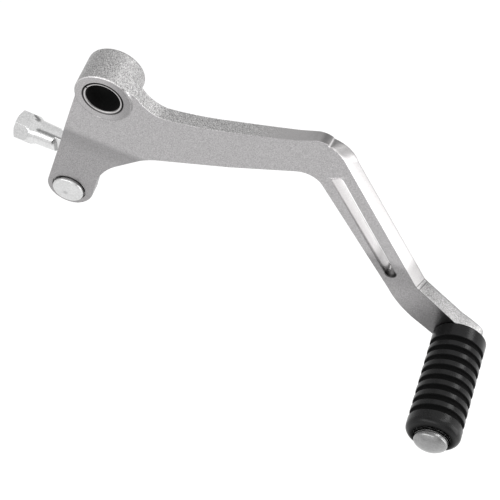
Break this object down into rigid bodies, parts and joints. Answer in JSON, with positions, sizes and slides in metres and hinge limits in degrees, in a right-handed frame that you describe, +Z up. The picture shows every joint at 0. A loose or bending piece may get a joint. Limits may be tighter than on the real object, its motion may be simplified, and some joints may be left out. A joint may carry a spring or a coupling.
{
  "type": "motorcycle gear shift lever",
  "caption": "Machined aluminium gear shift lever with a bushed pivot hub, a slotted cranked arm, a rubber toe peg and a ball-jointed rod end on its ear.",
  "frame": {"origin": "centre of the pivot bore at the outer end of the hub", "axes": "+X towards the toe peg, +Y along the pivot bore towards the machine, +Z up"},
  "size_m": [0.1918, 0.0799, 0.1072],
  "materials": {
    "arm_aluminium": "bead-blasted satin, fine grain",
    "bush_steel": "bright end ring over a dark sliding liner",
    "stud_steel": "bright zinc plate, turned head",
    "rod_end_plated": "bright zinc plate",
    "seat_plastic": "natural moulded liner",
    "cap_steel": "pressed and plated",
    "boot_rubber": "matt moulded rubber",
    "peg_aluminium": "turned and polished dome",
    "peg_rubber": "satin moulded ribs"
  },
  "bodies": {
    "lever": {"lever_arm": "arm_aluminium", "pivot_bush": "bush_steel", "ball_stud": "stud_steel", "peg_pin": "peg_aluminium", "peg_rubber": "peg_rubber"},
    "boot": {"dust_boot": "boot_rubber"},
    "rod_end": {"rod_end_body": "rod_end_plated", "ball_seat": "seat_plastic", "socket_cap": "cap_steel"}
  },
  "joints": [
    {"name": "rod_swing", "type": "hinge", "parent": "lever", "child": "boot", "pos_m": [-0.0196, 0.02185, -0.0586], "axis": [0, 1, 0], "continuous": true},
    {"name": "rod_tilt", "type": "hinge", "parent": "boot", "child": "rod_end", "pos_m": [-0.0196, 0.02185, -0.0586], "axis": [0, 0, 1], "range_deg": [-2, 22], "deforming": ["dust_boot"]}
  ]
}
